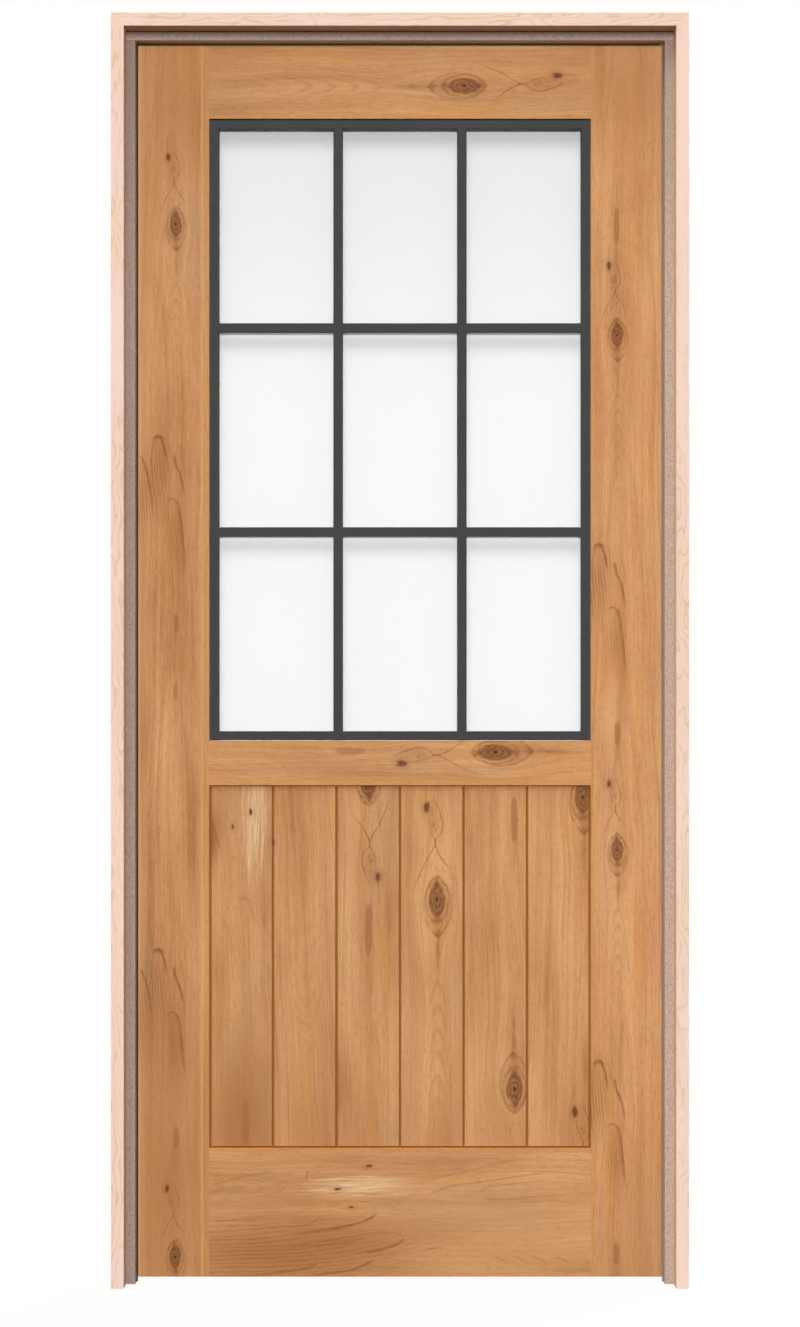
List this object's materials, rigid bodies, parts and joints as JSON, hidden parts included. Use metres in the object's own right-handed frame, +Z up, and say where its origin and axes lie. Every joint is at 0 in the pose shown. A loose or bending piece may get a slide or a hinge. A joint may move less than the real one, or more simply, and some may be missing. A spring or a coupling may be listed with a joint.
{
  "type": "half glazed door",
  "caption": "Half glazed door in a plain wood frame: satin glass between steel grilles above, a tongued and grooved board panel below, hung on butt hinges.",
  "frame": {"origin": "on the outer face of the hinge jamb, at floor level, midway between the front and the back of the frame", "axes": "+X across the opening from the hinge jamb to the lock jamb, +Y from the front of the door to the back, where it opens, +Z up"},
  "size_m": [0.9674, 0.1462, 2.1347],
  "materials": {
    "frame_wood": "pale limed wood, matt",
    "stop_wood": "taupe stained wood, matt",
    "leaf_wood": "knotty alder, clear satin finish",
    "board_wood": "knotty alder, clear satin finish",
    "satin_glass": "satin, not clear",
    "spacer_metal": "plain",
    "grille_steel": "dark grey, satin",
    "hinge_steel": "brushed",
    "seal_rubber": "matt"
  },
  "bodies": {
    "frame": {"hinge_jamb": "frame_wood", "lock_jamb": "frame_wood", "head_jamb": "frame_wood", "hinge_stop": "stop_wood", "lock_stop": "stop_wood", "head_stop": "stop_wood", "weather_seal": "seal_rubber", "bottom_hinge_jamb_plate": "hinge_steel", "bottom_hinge_pin": "hinge_steel", "middle_hinge_jamb_plate": "hinge_steel", "middle_hinge_pin": "hinge_steel", "top_hinge_jamb_plate": "hinge_steel", "top_hinge_pin": "hinge_steel"},
    "leaf": {"hinge_stile": "leaf_wood", "lock_stile": "leaf_wood", "top_rail": "leaf_wood", "lock_rail": "leaf_wood", "bottom_rail": "leaf_wood", "plank_1": "board_wood", "plank_2": "board_wood", "plank_3": "board_wood", "plank_4": "board_wood", "plank_5": "board_wood", "plank_6": "board_wood", "front_pane": "satin_glass", "glass_spacer": "spacer_metal", "back_pane": "satin_glass", "front_grille": "grille_steel", "back_grille": "grille_steel", "bottom_hinge_leaf_plate": "hinge_steel", "middle_hinge_leaf_plate": "hinge_steel", "top_hinge_leaf_plate": "hinge_steel"}
  },
  "joints": [
    {"name": "leaf_swing", "type": "hinge", "parent": "frame", "child": "leaf", "pos_m": [0.0241, 0.0735, 1], "axis": [0, 0, 1], "range_deg": [0, 170]}
  ]
}
